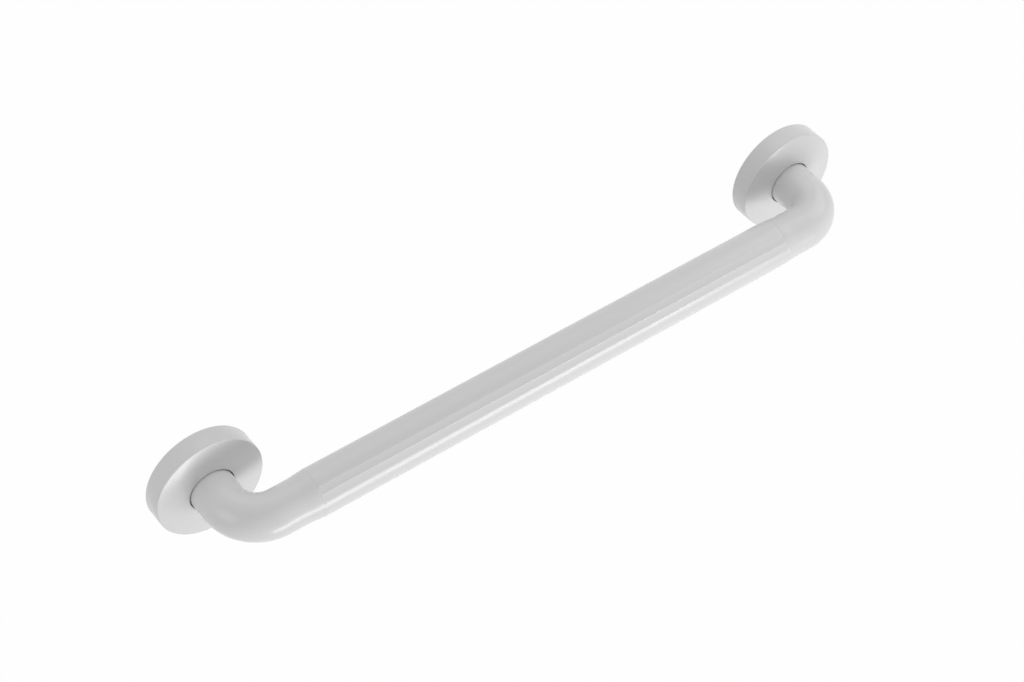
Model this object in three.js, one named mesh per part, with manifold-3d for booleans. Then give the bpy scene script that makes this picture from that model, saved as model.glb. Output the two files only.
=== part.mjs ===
// Wall grab bar: a fluted plastic grip sleeve over a metal core tube, held between two hollow moulded elbows.
// Each elbow's foot is screwed from behind to a round base plate, and a cover slides down over the plate.
// Millimetres. The origin is the centre of the left base plate's back face. +X runs along the bar, +Y goes
// into the wall, so the bar stands off in -Y, and +Z is up.
// The two ends are the same set of mouldings. They are drawn in a frame of their own, with the wall at y = 0,
// +Y out of the wall and +X towards the other end, and each end's group turns that frame into place.

import * as THREE from "three";
import { mergeVertices } from "three/addons/utils/BufferGeometryUtils.js";
import Module from "manifold-3d";

const wasm = await Module();
wasm.setup();

// Driving dimensions
const flangeCentres = 500;
const standoff = 60;
const sleeveDiameter = 35;
const elbowDiameter = 33;
const bendRadius = 26;
const elbowArm = 51;
const coverDiameter = 81;
const fixedGap = 0.3;
const cutOverrun = 1;

// Grip sleeve and its flutes, whose places are angles up and down from the front of the bar
const sleeveWall = 2.7;
const fluteDepth = 0.45;
const fluteStart = THREE.MathUtils.degToRad(23);
const flutePitch = THREE.MathUtils.degToRad(18.5);
const fluteCount = 2;
const fluteCurvePower = 3;
const stepsPerFlute = 8;
const plainStep = THREE.MathUtils.degToRad(7.5);

// Core tube
const coreWall = 2;

// Elbow
const elbowWall = 4.5;
const footFloor = 12;
const spigotLength = 40;
const spigotWall = 3.7;
const shoulderDepth = 4;
const bendSteps = 12;

// Base plate, whose rim fits inside the cover, with its wall screws halfway between the socket and the rim
const plateThickness = 6;
const plateChamfer = 1.2;
const socketWall = 3.6;
const socketHeight = 11;
const socketFillet = 1.5;
const wallScrewHole = 6.4;
const wallScrewHead = 12.4;
const wallScrewCount = 3;
const gussetThickness = 3;
const gussetReach = 8;
const gussetHeight = 4;

// Foot screws and their inserts
const footScrewCount = 3;
const footScrewCircle = 19;
const screwShank = 3.6;
const screwHead = 7.4;
const screwHeadDepth = 2.2;
const screwHeadLand = 0.4;
const screwLength = 14;
const screwRecess = 0.4;
const screwHoleGap = 0.4;
const hexAcrossCorners = 2.9;
const hexDepth = 1.5;
const hexSides = 6;
const insertDiameter = 6.2;
const insertLength = 8;
const insertGroove = 0.35;
const insertGrooveWidth = 1.2;
const insertLead = 0.4;
const insertSetback = 0.3;
const pocketBottom = 1.2;

// Cover, whose face is crowned: it climbs from a crisp rim to the hole, ever more gently
const coverWall = 2.2;
const coverHoleGap = 0.8;
const coverWallGap = 0.5;
const coverSide = 15.5;
const coverRimBreak = 0.4;
const coverCrownRise = 2.5;
const coverCrownPower = 1.5;
const crownSteps = 4;
const coverLipRadius = 0.5;
const coverCollarWall = 1.6;
const coverCollarDepth = 3;
const coverRibCount = 6;
const coverRibThickness = 1.6;
const coverRibWidth = 4.2;

// Facets round each kind of piece
const roundSides = 54;
const tubeSides = 40;
const boreSides = 24;
const smallSides = 16;
const screwSides = 12;
const cornerSteps = 4;

const sleeveRadius = sleeveDiameter / 2;
const elbowRadius = elbowDiameter / 2;
const sleeveBore = sleeveRadius - sleeveWall;
const coreRadius = sleeveBore - fixedGap;
const coreBore = coreRadius - coreWall;
const spigotRadius = coreBore - fixedGap;
const sleeveLength = flangeCentres - 2 * elbowArm;
const footStart = plateThickness + fixedGap;
const quarterTurn = Math.PI / 2;
const fullTurn = 2 * Math.PI;

const plasticOf = (color, roughness) =>
  new THREE.MeshStandardMaterial({ color, roughness, metalness: 0 });
const metalOf = (color, roughness) =>
  new THREE.MeshStandardMaterial({ color, roughness, metalness: 1 });

// A closed three.js geometry as a solid, with its faces turned outwards.
function solid(geometry) {
  const bare = geometry.index ? geometry.toNonIndexed() : geometry.clone();
  bare.deleteAttribute("normal");
  bare.deleteAttribute("uv");
  const merged = mergeVertices(bare);
  const vertProperties = merged.attributes.position.array;
  const triVerts = new Uint32Array(merged.index.array);
  const made = new wasm.Manifold(new wasm.Mesh({ numProp: 3, vertProperties, triVerts }));
  if (made.volume() > 0) return made;
  for (let i = 0; i < triVerts.length; i += 3) {
    [triVerts[i], triVerts[i + 1]] = [triVerts[i + 1], triVerts[i]];
  }
  return new wasm.Manifold(new wasm.Mesh({ numProp: 3, vertProperties, triVerts }));
}

function geometryOf(made) {
  const mesh = made.getMesh();
  const geometry = new THREE.BufferGeometry();
  geometry.setAttribute("position", new THREE.BufferAttribute(mesh.vertProperties, 3));
  geometry.setIndex(new THREE.BufferAttribute(mesh.triVerts, 1));
  geometry.computeVertexNormals();
  return geometry;
}

function piece(name, made, material) {
  const mesh = new THREE.Mesh(geometryOf(made), material);
  mesh.name = name;
  return mesh;
}

const revolve = (points, sides) => solid(new THREE.LatheGeometry(points, sides));
const at = (x, y) => new THREE.Vector2(x, y);

// Points of a rounded corner, from one angle to another about its centre.
function corner(x, y, radius, from, to) {
  return Array.from({ length: cornerSteps + 1 }, (_, i) => {
    const angle = from + ((to - from) * i) / cornerSteps;
    return at(x + radius * Math.cos(angle), y + radius * Math.sin(angle));
  });
}

// A cylinder or cone along +Y between two heights.
function round(lowRadius, highRadius, low, high, sides) {
  const body = new THREE.CylinderGeometry(highRadius, lowRadius, high - low, sides);
  body.translate(0, (low + high) / 2, 0);
  return body;
}

// The same shape repeated round the Y axis at a radius, as one solid.
function aroundAxis(geometry, count, radius, firstAngle) {
  const copies = Array.from({ length: count }, (_, i) => {
    const copy = geometry.clone();
    copy.translate(radius, 0, 0);
    copy.rotateY(firstAngle + (fullTurn * i) / count);
    return solid(copy);
  });
  return copies.reduce((joined, copy) => joined.add(copy));
}

// The elbow's centre line: up the foot in one step, round a quarter bend and along the arm in one step.
class ElbowLine extends THREE.Curve {
  constructor(start, end) {
    super();
    this.start = start;
    this.end = end;
    this.steps = bendSteps + 2;
  }
  getPoint(t, target = new THREE.Vector3()) {
    const bendStart = standoff - bendRadius;
    const stepShare = t * this.steps;
    const bendShare = (stepShare - 1) / bendSteps;
    if (bendShare < 0) {
      return target.set(0, this.start + (bendStart - this.start) * stepShare, 0);
    }
    if (bendShare > 1) {
      const armShare = stepShare - 1 - bendSteps;
      return target.set(bendRadius + (this.end - bendRadius) * armShare, standoff, 0);
    }
    const angle = quarterTurn * bendShare;
    const x = bendRadius * (1 - Math.cos(angle));
    return target.set(x, bendStart + bendRadius * Math.sin(angle), 0);
  }
  // The steps stay as getPoint places them, and aren't evened out along the line.
  getUtoTmapping(u) {
    return u;
  }
}

function sweptElbow(radius, sides, start, end) {
  const line = new ElbowLine(start, end);
  const circle = Array.from({ length: sides }, (_, i) => {
    const angle = (fullTurn * i) / sides;
    return at(radius * Math.cos(angle), radius * Math.sin(angle));
  });
  const settings = { steps: line.steps, extrudePath: line, bevelEnabled: false };
  return solid(new THREE.ExtrudeGeometry(new THREE.Shape(circle), settings));
}

// A straight round body along the bar, between two places on it.
function alongBar(radius, from, to, sides) {
  const body = round(radius, radius, from, to, sides);
  body.rotateZ(-quarterTurn);
  body.translate(0, standoff, 0);
  return solid(body);
}

function elbow() {
  const shoulder = elbowArm - fixedGap;
  const spigotEnd = elbowArm + spigotLength;
  const boreEnd = shoulder - shoulderDepth;
  const outer = sweptElbow(elbowRadius, tubeSides, footStart, shoulder);
  const spigot = alongBar(spigotRadius, boreEnd, spigotEnd, tubeSides);
  const bore = sweptElbow(elbowRadius - elbowWall, boreSides, footStart + footFloor, boreEnd);
  const spigotInner = spigotRadius - spigotWall;
  const spigotBore = alongBar(spigotInner, boreEnd - cutOverrun, spigotEnd + cutOverrun, boreSides);
  const pocketRadius = insertDiameter / 2 + fixedGap;
  const pocketTop = footStart + insertSetback + insertLength + pocketBottom;
  const pocket = round(pocketRadius, pocketRadius, footStart - cutOverrun, pocketTop, smallSides);
  const pockets = aroundAxis(pocket, footScrewCount, footScrewCircle / 2, 0);
  return outer.subtract(bore).add(spigot).subtract(spigotBore).subtract(pockets);
}

function basePlate() {
  const radius = coverDiameter / 2 - coverWall - fixedGap;
  const socketInner = elbowRadius + fixedGap;
  const socketOuter = socketInner + socketWall;
  const outline = [
    at(0, 0),
    at(radius, 0),
    at(radius, plateThickness - plateChamfer),
    at(radius - plateChamfer, plateThickness),
    at(socketOuter + socketFillet, plateThickness),
    at(socketOuter, plateThickness + socketFillet),
    at(socketOuter, socketHeight),
    at(socketInner, socketHeight),
    at(socketInner, plateThickness),
    at(0, plateThickness),
  ];
  const firstWallScrew = quarterTurn;
  const wallScrewRadius = (socketOuter + radius) / 2;
  const gussetOutline = new THREE.Shape([
    at(socketInner + socketWall / 2, plateThickness / 2),
    at(socketOuter + gussetReach, plateThickness / 2),
    at(socketOuter + gussetReach, plateThickness),
    at(socketOuter, plateThickness + gussetHeight),
    at(socketInner + socketWall / 2, plateThickness + gussetHeight),
  ]);
  const gusset = new THREE.ExtrudeGeometry(gussetOutline, { depth: gussetThickness, bevelEnabled: false });
  gusset.translate(0, 0, -gussetThickness / 2);
  const betweenScrews = firstWallScrew + Math.PI / wallScrewCount;
  const gussets = aroundAxis(gusset, wallScrewCount, 0, betweenScrews);

  const holeRadius = wallScrewHole / 2;
  const headRadius = wallScrewHead / 2;
  const headDepth = headRadius - holeRadius;
  const hole = round(holeRadius, holeRadius, -cutOverrun, plateThickness + cutOverrun, smallSides);
  const sinkLow = plateThickness - headDepth;
  const sink = round(holeRadius, headRadius + cutOverrun, sinkLow, plateThickness + cutOverrun, smallSides);
  const wallHoles = aroundAxis(hole, wallScrewCount, wallScrewRadius, firstWallScrew);
  const wallSinks = aroundAxis(sink, wallScrewCount, wallScrewRadius, firstWallScrew);

  const shankRadius = screwShank / 2 + screwHoleGap;
  const footHeadRadius = screwHead / 2 + screwHoleGap;
  const footHeadDepth = screwRecess + screwHeadLand;
  const coneTop = footHeadDepth + screwHeadDepth;
  const footHole = round(shankRadius, shankRadius, -cutOverrun, plateThickness + cutOverrun, screwSides);
  const footBore = round(footHeadRadius, footHeadRadius, -cutOverrun, footHeadDepth, screwSides);
  const footCone = round(footHeadRadius, shankRadius, footHeadDepth - fixedGap, coneTop, screwSides);
  const footCuts = [footHole, footBore, footCone].map((cut) =>
    aroundAxis(cut, footScrewCount, footScrewCircle / 2, 0),
  );

  const cuts = [wallHoles, wallSinks, ...footCuts];
  return cuts.reduce((plate, cut) => plate.subtract(cut), revolve(outline, roundSides).add(gussets));
}

// A countersunk screw with a hexagon socket, its head towards the wall.
function footScrew() {
  const headRadius = screwHead / 2;
  const shankRadius = screwShank / 2;
  const head = screwRecess;
  const coneStart = head + screwHeadLand;
  const tip = head + screwLength;
  const outline = [
    at(0, head),
    at(headRadius, head),
    at(headRadius, coneStart),
    at(shankRadius, coneStart + screwHeadDepth),
    at(shankRadius, tip - screwHeadLand),
    at(shankRadius - screwHeadLand, tip),
    at(0, tip),
  ];
  const hexRadius = hexAcrossCorners / 2;
  const hex = solid(round(hexRadius, hexRadius, head - cutOverrun, head + hexDepth, hexSides));
  return revolve(outline, screwSides).subtract(hex);
}

// A brass insert with one groove for the plastic to grip, open at both ends.
function insert() {
  const outside = insertDiameter / 2;
  const bore = screwShank / 2 + fixedGap;
  const low = footStart + insertSetback;
  const high = low + insertLength;
  const middle = (low + high) / 2;
  const grooveHalf = insertGrooveWidth / 2;
  const outline = [
    at(bore, low),
    at(outside, low),
    at(outside, middle - grooveHalf - insertGroove),
    at(outside - insertGroove, middle - grooveHalf),
    at(outside - insertGroove, middle + grooveHalf),
    at(outside, middle + grooveHalf + insertGroove),
    at(outside, high - insertLead),
    at(outside - insertLead, high),
    at(bore, high),
    at(bore, low),
  ];
  return revolve(outline, screwSides);
}

function cover() {
  const outside = coverDiameter / 2;
  const inside = outside - coverWall;
  const hole = elbowRadius + coverHoleGap;
  const rim = outside - coverRimBreak;
  const rimTop = coverSide + coverRimBreak;
  const top = rimTop + coverCrownRise;
  const lip = hole + coverLipRadius;
  const collarOutside = hole + coverCollarWall;
  const collarEnd = top - coverWall - coverCollarDepth;

  // The height of the crowned face at a radius, and points along it, inwards from the rim.
  const crownHeight = (radius) => {
    const outShare = Math.max(radius - lip, 0) / (rim - lip);
    return top - coverCrownRise * outShare ** coverCrownPower;
  };
  const crown = Array.from({ length: crownSteps }, (_, i) => {
    const radius = rim - ((rim - lip) * i) / crownSteps;
    return at(radius, crownHeight(radius));
  });
  const ceiling = (radius) => at(radius, crownHeight(radius) - coverWall);
  const outline = [
    at(inside, coverWallGap),
    at(outside, coverWallGap),
    at(outside, coverSide),
    ...crown,
    ...corner(lip, top - coverLipRadius, coverLipRadius, quarterTurn, Math.PI),
    at(hole, collarEnd),
    at(collarOutside, collarEnd),
    ceiling(collarOutside),
    ceiling((collarOutside + inside) / 2),
    ceiling(inside),
    at(inside, coverWallGap),
  ];

  // A rib's top lies in the wall all along, midway between the ceiling at one end and the face at the other.
  const ribInner = inside - coverRibWidth;
  const ribOuter = inside + coverWall / 2;
  const ribLow = plateThickness + fixedGap;
  const ribHigh = (ceiling(ribInner).y + crownHeight(ribOuter)) / 2;
  const ribReach = ribOuter - ribInner;
  const rib = new THREE.BoxGeometry(ribReach, ribHigh - ribLow, coverRibThickness);
  rib.translate(0, (ribLow + ribHigh) / 2, 0);
  const ribPlace = (ribInner + ribOuter) / 2;
  const ribs = aroundAxis(rib, coverRibCount, ribPlace, 0);
  return revolve(outline, roundSides).add(ribs);
}

// How far the sleeve's surface lies below its full radius, at an angle up or down from the front.
function fluteCut(angle) {
  const across = (Math.abs(angle) - fluteStart) / flutePitch;
  const flute = Math.floor(across);
  const fromMiddleShare = Math.abs(2 * (across - flute) - 1);
  const fluted = flute >= 0 && flute < fluteCount;
  return fluted ? fluteDepth * (1 - fromMiddleShare ** fluteCurvePower) : 0;
}

// Angles round the sleeve from its back underside to its back top, close together where it is fluted.
function sleeveAngles() {
  const fluted = fluteCount * flutePitch;
  const fluteEnd = fluteStart + fluted;
  const fluteSteps = fluteCount * stepsPerFlute;
  const land = Math.round(fluteStart / plainStep);
  const back = Math.round((Math.PI - fluteEnd) / plainStep);
  const half = [
    ...Array.from({ length: land }, (_, i) => (fluteStart * i) / land),
    ...Array.from({ length: fluteSteps }, (_, i) => fluteStart + (fluted * i) / fluteSteps),
    ...Array.from({ length: back + 1 }, (_, i) => fluteEnd + ((Math.PI - fluteEnd) * i) / back),
  ];
  return [...half.slice(1, -1).reverse().map((angle) => -angle), ...half];
}

function gripSleeve() {
  const onSection = (radius, angle) => at(-radius * Math.sin(angle), -radius * Math.cos(angle));
  const outline = sleeveAngles().map((angle) => onSection(sleeveRadius - fluteCut(angle), angle));
  const section = new THREE.Shape(outline);
  section.holes.push(new THREE.Path().absarc(0, 0, sleeveBore, 0, fullTurn));
  const settings = { depth: sleeveLength, bevelEnabled: false, curveSegments: tubeSides };
  return solid(new THREE.ExtrudeGeometry(section, settings));
}

function coreTube() {
  const outline = [
    at(coreBore, 0),
    at(coreRadius, 0),
    at(coreRadius, sleeveLength),
    at(coreBore, sleeveLength),
    at(coreBore, 0),
  ];
  return revolve(outline, boreSides);
}

// One end of the bar, in its own frame with +Y out of the wall.
function endSet(side) {
  const group = new THREE.Group();
  group.add(piece(`${side}_elbow`, elbow(), plasticOf(0xe4e4e4, 0.22)));
  group.add(piece(`${side}_base_plate`, basePlate(), plasticOf(0xd6d6d4, 0.5)));
  group.add(piece(`${side}_cover`, cover(), plasticOf(0xe4e4e4, 0.16)));
  for (let i = 0; i < footScrewCount; i += 1) {
    const turned = new THREE.Group();
    turned.rotation.y = (fullTurn * i) / footScrewCount;
    const screw = piece(`${side}_foot_screw_${i + 1}`, footScrew(), metalOf(0xb8bcc0, 0.3));
    const brass = piece(`${side}_foot_insert_${i + 1}`, insert(), metalOf(0xc9a257, 0.35));
    screw.position.x = footScrewCircle / 2;
    brass.position.x = footScrewCircle / 2;
    turned.add(screw, brass);
    group.add(turned);
  }
  return group;
}

const grabBar = new THREE.Group();

const leftEnd = endSet("left");
leftEnd.rotation.x = Math.PI;
const rightEnd = endSet("right");
rightEnd.rotation.z = Math.PI;
rightEnd.position.x = flangeCentres;

const sleeve = piece("fluted_grip_sleeve", gripSleeve(), plasticOf(0xe6e6e6, 0.2));
sleeve.rotation.y = quarterTurn;
sleeve.position.set(elbowArm, -standoff, 0);

const core = piece("core_tube", coreTube(), metalOf(0xc4c7ca, 0.35));
core.rotation.z = -quarterTurn;
core.position.set(elbowArm, -standoff, 0);

grabBar.add(leftEnd, rightEnd, sleeve, core);

export default grabBar;
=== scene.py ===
# %% Load the frame
import math

import bmesh
import bpy
from mathutils import Matrix, Vector


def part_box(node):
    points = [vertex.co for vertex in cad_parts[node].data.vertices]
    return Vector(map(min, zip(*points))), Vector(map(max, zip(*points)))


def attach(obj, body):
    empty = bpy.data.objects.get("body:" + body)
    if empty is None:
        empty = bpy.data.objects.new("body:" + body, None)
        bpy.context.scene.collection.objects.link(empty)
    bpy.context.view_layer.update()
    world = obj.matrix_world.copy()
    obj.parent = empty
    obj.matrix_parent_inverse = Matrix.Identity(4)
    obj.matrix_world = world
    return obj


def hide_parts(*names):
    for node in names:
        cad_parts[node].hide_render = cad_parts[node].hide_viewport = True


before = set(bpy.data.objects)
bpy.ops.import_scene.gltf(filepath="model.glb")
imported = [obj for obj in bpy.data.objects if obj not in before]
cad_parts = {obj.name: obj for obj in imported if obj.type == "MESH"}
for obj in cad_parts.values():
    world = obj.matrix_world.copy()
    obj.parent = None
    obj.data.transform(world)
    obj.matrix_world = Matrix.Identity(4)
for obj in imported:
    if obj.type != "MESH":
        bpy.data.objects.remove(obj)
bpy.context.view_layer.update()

print("nodes:", len(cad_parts))

# %% [markdown]
# # A white plastic grab bar
# The bar is a fluted grip sleeve held between two bent ends, and each end stands on a round flange under a cover.
# Inside are a tube that carries the load, and the screws and brass inserts that hold each end to its flange.
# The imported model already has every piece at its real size, drawn with few facets. This lesson makes all of them
# again as fine smooth meshes in the same places, and gives each kind of piece its own material.
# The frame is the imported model's own: metres, +X along the bar, +Y into the wall, +Z up. So each size of the bar
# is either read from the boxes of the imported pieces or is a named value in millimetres.

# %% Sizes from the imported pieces
MM = 0.001
X, Y, Z = range(3)


def node_size(node, axis):
    low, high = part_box(node)
    return high[axis] - low[axis]


def node_middle(node, axis):
    low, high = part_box(node)
    return (high[axis] + low[axis]) / 2


left_x = node_middle("left_cover", X)
right_x = node_middle("right_cover", X)
sleeve_low, sleeve_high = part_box("fluted_grip_sleeve")
sleeve_radius = node_size("fluted_grip_sleeve", Z) / 2
bar_y = sleeve_low[Y] + sleeve_radius
elbow_radius = node_size("left_elbow", Z) / 2
cover_radius = node_size("left_cover", Z) / 2
plate_radius = node_size("left_base_plate", Z) / 2
bar_middle = Vector(((left_x + right_x) / 2, 0.0, 0.0))
print(f"flange centres {(right_x - left_x) / MM:.1f} mm, bar axis {-bar_y / MM:.1f} mm from the wall")
print(f"radii: sleeve {sleeve_radius / MM:.2f}, elbow {elbow_radius / MM:.2f}, cover {cover_radius / MM:.2f} mm")

# %% [markdown]
# ## Working in edit mode
# Nearly every piece here is a round section that is pushed along, drawn in and turned. Curves with a bevel, or a
# Screw modifier on a profile, would make such shapes too. Drawing with one moving rim was chosen because a piece
# that is round one way and bent or fluted another comes out as one clean mesh, and every step can be looked at.
# So a handful of helpers do the work: they start a ring or a block, extrude the selected rim and move or scale
# it, select by place, bevel, and bridge two rims. They call the same operators as the menus do.
# Loading the frame leaves its nodes selected, and operators act on all that is selected, so each start deselects.


# %% Helpers that start a piece
def start_ring(name, radius, place, sides, along):
    """A ring of edges round a direction, as a new object in edit mode."""
    bpy.ops.object.select_all(action="DESELECT")
    turn = along.to_track_quat("Z", "Y").to_euler()
    bpy.ops.mesh.primitive_circle_add(vertices=sides, radius=radius, location=place, rotation=turn)
    return start_editing(name)


def start_block(name, size, place):
    """A block of a size along X, Y and Z, as a new object in edit mode."""
    bpy.ops.object.select_all(action="DESELECT")
    bpy.ops.mesh.primitive_cube_add(size=1, location=place)
    bpy.context.object.scale = size
    return start_editing(name)


def start_editing(name):
    """Put the new primitive's place, turn and scale into its mesh, name it, and select all of it to edit."""
    piece = bpy.context.object
    bpy.ops.object.transform_apply(location=True, rotation=True, scale=True)
    piece.name = name
    piece.data.name = name
    bpy.ops.object.mode_set(mode="EDIT")
    bpy.ops.mesh.select_all(action="SELECT")
    return piece


# %% Helpers that shape what is selected
def push(offset):
    """Extrude the selected rim and move the new rim."""
    bpy.ops.mesh.extrude_edges_move(TRANSFORM_OT_translate={"value": offset})


def draw_in(ratio, centre):
    """Extrude the selected rim and scale the new rim about its centre."""
    bpy.ops.mesh.extrude_edges_move(TRANSFORM_OT_translate={"value": (0, 0, 0)})
    bpy.ops.transform.resize(value=(ratio, ratio, ratio), center_override=centre)


def scale_across(axis, ratio, centre):
    """Scale what is selected about a centre, but not along the axis."""
    value = [ratio, ratio, ratio]
    value[axis] = 1
    bpy.ops.transform.resize(value=value, center_override=centre)


def ease(share):
    """From 0 to 1 as share does, but slow to start and slow to stop."""
    return (1 - math.cos(math.pi * share)) / 2


# %% Helpers that select by place
NEAR = 0.02 * MM


def pick(piece, wanted, mode="VERT"):
    """Select the vertices for which wanted(place) is true, or the edges with both ends there, and count them."""
    bpy.ops.mesh.select_mode(type=mode)
    bpy.ops.mesh.select_all(action="DESELECT")
    mesh = bmesh.from_edit_mesh(piece.data)
    chosen = 0
    if mode == "VERT":
        for vert in mesh.verts:
            vert.select = wanted(vert.co)
            chosen += vert.select
    else:
        for edge in mesh.edges:
            edge.select = wanted(edge.verts[0].co) and wanted(edge.verts[1].co)
            chosen += edge.select
    mesh.select_flush_mode()
    bmesh.update_edit_mesh(piece.data)
    return chosen


def at_x(x):
    """A test for points in the plane at that place along the bar."""
    return lambda place: abs(place.x - x) < NEAR


def on_bar_ring(x, radius):
    """A test for points on a ring round the bar's axis."""

    def test(place):
        off = math.hypot(place.y - bar_y, place.z) - radius
        return abs(place.x - x) < NEAR and abs(off) < NEAR

    return test


def on_foot_ring(centre_x, radius, height):
    """A test for points on a ring that lies flat at a height above the wall."""

    def test(place):
        off = math.hypot(place.x - centre_x, place.z) - radius
        return abs(-place.y - height) < NEAR and abs(off) < NEAR

    return test


# %% Helpers for edges and rims
BREAK_STEPS = 2
ROUND_STEPS = 3
FILLET_STEPS = 5


def bevel(piece, wanted, size, steps):
    """Bevel the edges whose two ends are wanted."""
    pick(piece, wanted, "EDGE")
    bpy.ops.mesh.bevel(offset=size, segments=steps, affect="EDGES")


def bridge(piece, wanted):
    """Join two rims, whose points are the wanted ones, by a band of faces."""
    pick(piece, wanted, "EDGE")
    bpy.ops.mesh.bridge_edge_loops()


# %% Helpers that finish a piece
WELD = 0.002 * MM
SMOOTH_UP_TO = 25


def close_mesh():
    """Weld what lies together, fill what is open, turn every face outwards, and leave edit mode."""
    bpy.ops.mesh.select_mode(type="VERT")
    bpy.ops.mesh.select_all(action="SELECT")
    bpy.ops.mesh.remove_doubles(threshold=WELD)
    bpy.ops.mesh.fill_holes(sides=0)
    bpy.ops.mesh.select_all(action="SELECT")
    bpy.ops.mesh.normals_make_consistent(inside=False)
    bpy.ops.object.mode_set(mode="OBJECT")


def select_only(piece):
    bpy.ops.object.select_all(action="DESELECT")
    piece.select_set(True)
    bpy.context.view_layer.objects.active = piece


def shade(piece, smooth_up_to=SMOOTH_UP_TO):
    """Shade a piece smooth, apart from the edges that turn by more than that many degrees."""
    select_only(piece)
    bpy.ops.object.shade_smooth_by_angle(angle=math.radians(smooth_up_to))


def report(piece):
    """Print a piece's size, its faces and whether it is closed."""
    mesh = bmesh.new()
    mesh.from_mesh(piece.data)
    open_edges = sum(not edge.is_manifold for edge in mesh.edges)
    volume = mesh.calc_volume(signed=True) / MM**3
    mesh.free()
    size = ", ".join(f"{side / MM:.1f}" for side in piece.dimensions)
    faces = len(piece.data.polygons)
    print(f"{piece.name}: {size} mm, {faces} faces, {open_edges} open edges, {volume:.0f} mm3")


# %% Helpers for cutting, joining and copying
def combine(piece, tool, operation):
    """Join or cut one piece with another by a Boolean modifier, apply it and remove the tool."""
    select_only(piece)
    boolean = piece.modifiers.new(operation.lower(), "BOOLEAN")
    boolean.operation = operation
    boolean.solver = "EXACT"
    boolean.object = tool
    bpy.ops.object.modifier_apply(modifier=boolean.name)
    bpy.data.objects.remove(tool)


def repeat_round(centre, count):
    """In edit mode, copy all of the mesh round an axis along Y, so that count copies stand evenly."""
    bpy.ops.mesh.select_all(action="SELECT")
    for _ in range(count - 1):
        bpy.ops.mesh.duplicate()
        bpy.ops.transform.rotate(value=2 * math.pi / count, orient_axis="Y", center_override=centre)


def turn_mesh(piece, degrees, centre):
    """Turn a piece's mesh about an axis along Y."""
    select_only(piece)
    bpy.ops.object.mode_set(mode="EDIT")
    bpy.ops.mesh.select_all(action="SELECT")
    bpy.ops.transform.rotate(value=math.radians(degrees), orient_axis="Y", center_override=centre)
    bpy.ops.object.mode_set(mode="OBJECT")


def copy_as(piece, name):
    """A copy of a piece, with a mesh of its own."""
    select_only(piece)
    bpy.ops.object.duplicate(linked=False)
    copy = bpy.context.object
    copy.name = name
    copy.data.name = name
    return copy


def other_end(piece, name):
    """A copy turned half round about the middle of the bar, which is where the other end is."""
    copy = copy_as(piece, name)
    turn_mesh(copy, 180, bar_middle)
    return copy


# %% [markdown]
# ## Grip sleeve
# The real sleeve is extruded, so its section is the same from end to end: smooth over the front, two shallow
# flutes above it and two below, and plain round the top and back. Rounded cutters and Booleans would make the
# flutes too, but they leave long thin faces. A ring with two vertices to each degree has one at every flute's
# edge, so here the section is shaped first. The vertices at the same depth in a flute are drawn in towards the
# axis, a pair at a time, and the ridge at the far edge of each flute is lifted by a hair, which gives the fine
# bright lines of the photograph. The section is then extruded along the bar.
# Each end is drawn in over its last two millimetres to a plain ring that meets the elbow, and the elbow swells a
# little towards it, as the photograph shows no dark step there. The bore is a last rim that is pushed back to the
# start and bridged to the first one.

# %% Where the flutes are, in degrees up or down from the front
STEPS_PER_DEGREE = 2
SLEEVE_SIDES = 360 * STEPS_PER_DEGREE
FLUTE_START = 23
FLUTE_PITCH = 18.5
FLUTE_COUNT = 2
STEP_TOLERANCE = 0.1

steps_per_flute = round(STEPS_PER_DEGREE * FLUTE_PITCH)
ridges = [FLUTE_START + FLUTE_PITCH * count for count in range(1, FLUTE_COUNT + 1)]
print(f"{steps_per_flute} steps to a flute, ridges at {ridges} degrees")


def degrees_from_front(place):
    return math.degrees(math.atan2(abs(place.z), bar_y - place.y))


def across_flute(share):
    """A test for points at that share of a flute's width from either of its edges."""

    def test(place):
        flute, here = divmod((degrees_from_front(place) - FLUTE_START) / FLUTE_PITCH, 1)
        same_depth = abs(min(here, 1 - here) - share) < STEP_TOLERANCE / steps_per_flute
        return 0 <= flute < FLUTE_COUNT and same_depth

    return test


def off_ridge(steps):
    """A test for points that many steps of the ring away from the nearest ridge."""

    def test(place):
        off = min(abs(degrees_from_front(place) - ridge) for ridge in ridges)
        return round(off * STEPS_PER_DEGREE) == steps

    return test


# %% Draw the fluted section
END_LENGTH = 2 * MM
FLUTE_DEPTH = 0.35 * MM
FLUTE_CURVE_POWER = 2
RIDGE_LIFT = 0.06 * MM
RIDGE_HALF_WIDTH = 0.35 * MM

along_bar = Vector((1, 0, 0))
sleeve_start = Vector((sleeve_low[X], bar_y, 0))
section_place = sleeve_start + Vector((END_LENGTH, 0, 0))
sleeve = start_ring("grip_sleeve", sleeve_radius, section_place, SLEEVE_SIDES, along_bar)
for step in range(1, steps_per_flute // 2 + 1):
    share = step / steps_per_flute
    pick(sleeve, across_flute(share))
    depth = FLUTE_DEPTH * (1 - abs(2 * share - 1) ** FLUTE_CURVE_POWER)
    scale_across(X, 1 - depth / sleeve_radius, section_place)

step_width = 2 * math.pi * sleeve_radius / SLEEVE_SIDES
for step in range(int(RIDGE_HALF_WIDTH / step_width) + 1):
    lifted = pick(sleeve, off_ridge(step))
    lift = RIDGE_LIFT * (1 - ease(step * step_width / RIDGE_HALF_WIDTH))
    scale_across(X, 1 + lift / sleeve_radius, section_place)
    print(f"{lifted} points lifted by {lift / MM:.3f} mm")

# %% Extrude the section, draw in its ends, and bore it
SLEEVE_WALL = 2.7 * MM
SLEEVE_END_LIP = 0.05 * MM
SLEEVE_SMOOTH_UP_TO = 30
ELBOW_SWELL = 0.7 * MM
END_STEPS = 6

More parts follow.
